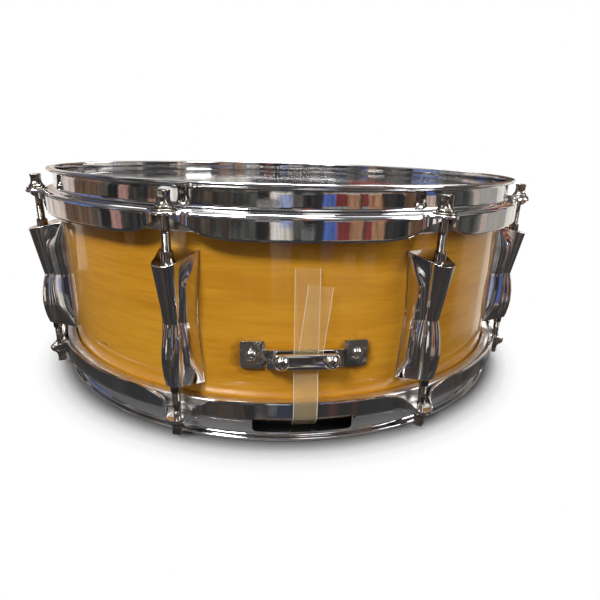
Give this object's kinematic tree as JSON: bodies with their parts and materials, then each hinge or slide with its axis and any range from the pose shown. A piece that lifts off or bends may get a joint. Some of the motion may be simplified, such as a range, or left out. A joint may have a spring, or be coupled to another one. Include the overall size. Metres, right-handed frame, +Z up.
{
  "type": "snare drum",
  "caption": "Shallow wooden snare drum with pressed hoops, double-ended lugs, key-turned tension rods, a butt plate, a throw-off strainer and wires under the lower head.",
  "frame": {"origin": "on the drum's axis, in the plane of the lower rim that it rests on", "axes": "+Z up along the drum's axis; -Y towards the butt plate, +Y towards the throw-off strainer"},
  "size_m": [0.374, 0.4004, 0.1472],
  "materials": {
    "shell_wood": "honey-amber gloss lacquer over fine horizontal grain",
    "hoop_chrome": "mirror chrome on pressed steel, light wear",
    "lug_chrome": "mirror chrome on a zinc casting, faint pitting at the edges",
    "rod_chrome": "plated steel, dulled threads",
    "chrome_trim": "chrome plate",
    "worn_chrome": "pitted chrome plate with rust specks",
    "zinc_fasteners": "zinc-plated steel",
    "spring_steel": "plain spring wire",
    "flesh_aluminium": "plain rolled aluminium",
    "batter_film": "dark glossy polyester film",
    "snare_film": "thin clear polyester film",
    "strap_plastic": "clear flexible plastic strip",
    "snare_steel": "bright coiled steel wire and stamped plates"
  },
  "bodies": {
    "drum": {"shell": "shell_wood", "vent_grommet": "chrome_trim", "top_hoop": "hoop_chrome", "bottom_hoop": "hoop_chrome", "batter_head": "batter_film", "snare_head": "snare_film", "batter_flesh_hoop": "flesh_aluminium", "snare_flesh_hoop": "flesh_aluminium", "swivel_nuts": "rod_chrome", "lug_springs": "spring_steel", "lug_screws": "zinc_fasteners", "lug_screw_washers": "zinc_fasteners", "batter_rod_washers": "rod_chrome", "snare_rod_washers": "rod_chrome", "butt_bracket": "worn_chrome", "butt_clamp_bar": "worn_chrome", "butt_clamp_screws": "worn_chrome", "butt_mounting_screws": "worn_chrome", "butt_mounting_nuts": "zinc_fasteners", "butt_strap": "strap_plastic", "strainer_housing": "chrome_trim", "strainer_mounting_screws": "zinc_fasteners", "lever_pin": "zinc_fasteners", "strainer_strap": "strap_plastic", "lug_1": "lug_chrome", "lug_2": "lug_chrome", "lug_3": "lug_chrome", "lug_4": "lug_chrome", "lug_5": "lug_chrome", "lug_6": "lug_chrome", "lug_7": "lug_chrome", "lug_8": "lug_chrome"},
    "throw_lever": {"throw_lever": "chrome_trim"},
    "slide_carriage": {"slide_carriage": "chrome_trim"},
    "tension_knob": {"tension_knob": "chrome_trim", "tension_screw": "zinc_fasteners"},
    "strap_clamp": {"strap_clamp_block": "chrome_trim", "strap_clamp_bar": "chrome_trim", "strap_clamp_screws": "zinc_fasteners"},
    "snare_unit": {"snare_wires": "snare_steel", "snare_end_plates": "snare_steel", "snare_tail_straps": "strap_plastic"},
    "batter_rod_1": {"batter_rod_1": "rod_chrome"},
    "snare_rod_1": {"snare_rod_1": "rod_chrome"},
    "batter_rod_2": {"batter_rod_2": "rod_chrome"},
    "snare_rod_2": {"snare_rod_2": "rod_chrome"},
    "batter_rod_3": {"batter_rod_3": "rod_chrome"},
    "snare_rod_3": {"snare_rod_3": "rod_chrome"},
    "batter_rod_4": {"batter_rod_4": "rod_chrome"},
    "snare_rod_4": {"snare_rod_4": "rod_chrome"},
    "batter_rod_5": {"batter_rod_5": "rod_chrome"},
    "snare_rod_5": {"snare_rod_5": "rod_chrome"},
    "batter_rod_6": {"batter_rod_6": "rod_chrome"},
    "snare_rod_6": {"snare_rod_6": "rod_chrome"},
    "batter_rod_7": {"batter_rod_7": "rod_chrome"},
    "snare_rod_7": {"snare_rod_7": "rod_chrome"},
    "batter_rod_8": {"batter_rod_8": "rod_chrome"},
    "snare_rod_8": {"snare_rod_8": "rod_chrome"}
  },
  "joints": [
    {"name": "batter_rod_1_turn", "type": "hinge", "parent": "drum", "child": "batter_rod_1", "pos_m": [0.07256, -0.17517, 0.118], "axis": [0, 0, 1], "range_deg": [-720, 180]},
    {"name": "snare_rod_1_turn", "type": "hinge", "parent": "drum", "child": "snare_rod_1", "pos_m": [0.07256, -0.17517, 0.029], "axis": [0, 0, -1], "range_deg": [-720, 180]},
    {"name": "batter_rod_2_turn", "type": "hinge", "parent": "drum", "child": "batter_rod_2", "pos_m": [0.17517, -0.07256, 0.118], "axis": [0, 0, 1], "range_deg": [-720, 180]},
    {"name": "snare_rod_2_turn", "type": "hinge", "parent": "drum", "child": "snare_rod_2", "pos_m": [0.17517, -0.07256, 0.029], "axis": [0, 0, -1], "range_deg": [-720, 180]},
    {"name": "batter_rod_3_turn", "type": "hinge", "parent": "drum", "child": "batter_rod_3", "pos_m": [0.17517, 0.07256, 0.118], "axis": [0, 0, 1], "range_deg": [-720, 180]},
    {"name": "snare_rod_3_turn", "type": "hinge", "parent": "drum", "child": "snare_rod_3", "pos_m": [0.17517, 0.07256, 0.029], "axis": [0, 0, -1], "range_deg": [-720, 180]},
    {"name": "batter_rod_4_turn", "type": "hinge", "parent": "drum", "child": "batter_rod_4", "pos_m": [0.07256, 0.17517, 0.118], "axis": [0, 0, 1], "range_deg": [-720, 180]},
    {"name": "snare_rod_4_turn", "type": "hinge", "parent": "drum", "child": "snare_rod_4", "pos_m": [0.07256, 0.17517, 0.029], "axis": [0, 0, -1], "range_deg": [-720, 180]},
    {"name": "batter_rod_5_turn", "type": "hinge", "parent": "drum", "child": "batter_rod_5", "pos_m": [-0.07256, 0.17517, 0.118], "axis": [0, 0, 1], "range_deg": [-720, 180]},
    {"name": "snare_rod_5_turn", "type": "hinge", "parent": "drum", "child": "snare_rod_5", "pos_m": [-0.07256, 0.17517, 0.029], "axis": [0, 0, -1], "range_deg": [-720, 180]},
    {"name": "batter_rod_6_turn", "type": "hinge", "parent": "drum", "child": "batter_rod_6", "pos_m": [-0.17517, 0.07256, 0.118], "axis": [0, 0, 1], "range_deg": [-720, 180]},
    {"name": "snare_rod_6_turn", "type": "hinge", "parent": "drum", "child": "snare_rod_6", "pos_m": [-0.17517, 0.07256, 0.029], "axis": [0, 0, -1], "range_deg": [-720, 180]},
    {"name": "batter_rod_7_turn", "type": "hinge", "parent": "drum", "child": "batter_rod_7", "pos_m": [-0.17517, -0.07256, 0.118], "axis": [0, 0, 1], "range_deg": [-720, 180]},
    {"name": "snare_rod_7_turn", "type": "hinge", "parent": "drum", "child": "snare_rod_7", "pos_m": [-0.17517, -0.07256, 0.029], "axis": [0, 0, -1], "range_deg": [-720, 180]},
    {"name": "batter_rod_8_turn", "type": "hinge", "parent": "drum", "child": "batter_rod_8", "pos_m": [-0.07256, -0.17517, 0.118], "axis": [0, 0, 1], "range_deg": [-720, 180]},
    {"name": "snare_rod_8_turn", "type": "hinge", "parent": "drum", "child": "snare_rod_8", "pos_m": [-0.07256, -0.17517, 0.029], "axis": [0, 0, -1], "range_deg": [-720, 180]},
    {"name": "throw_lever_hinge", "type": "hinge", "parent": "drum", "child": "throw_lever", "pos_m": [0, 0.2, 0.07], "axis": [-1, 0, 0], "range_deg": [0, 100]},
    {"name": "carriage_slide", "type": "slide", "parent": "drum", "child": "slide_carriage", "axis": [0, 0, -1], "range_m": [0, 0.007], "deforming": ["strainer_strap"]},
    {"name": "tension_knob_turn", "type": "hinge", "parent": "slide_carriage", "child": "tension_knob", "pos_m": [0, 0.19, 0.1], "axis": [0, 0, 1], "range_deg": [-900, 900]},
    {"name": "strap_clamp_slide", "type": "slide", "parent": "slide_carriage", "child": "strap_clamp", "axis": [0, 0, 1], "range_m": [-0.0025, 0.0025]},
    {"name": "snare_drop", "type": "slide", "parent": "drum", "child": "snare_unit", "axis": [0, 0, -1], "range_m": [0, 0.003]}
  ],
  "couplings": [
    {"joint": "carriage_slide", "follows": "throw_lever_hinge", "m_per_rad": 0.004005},
    {"joint": "snare_drop", "follows": "throw_lever_hinge", "m_per_rad": 0.001716},
    {"joint": "tension_knob_turn", "follows": "strap_clamp_slide", "rad_per_m": 6283.2}
  ]
}
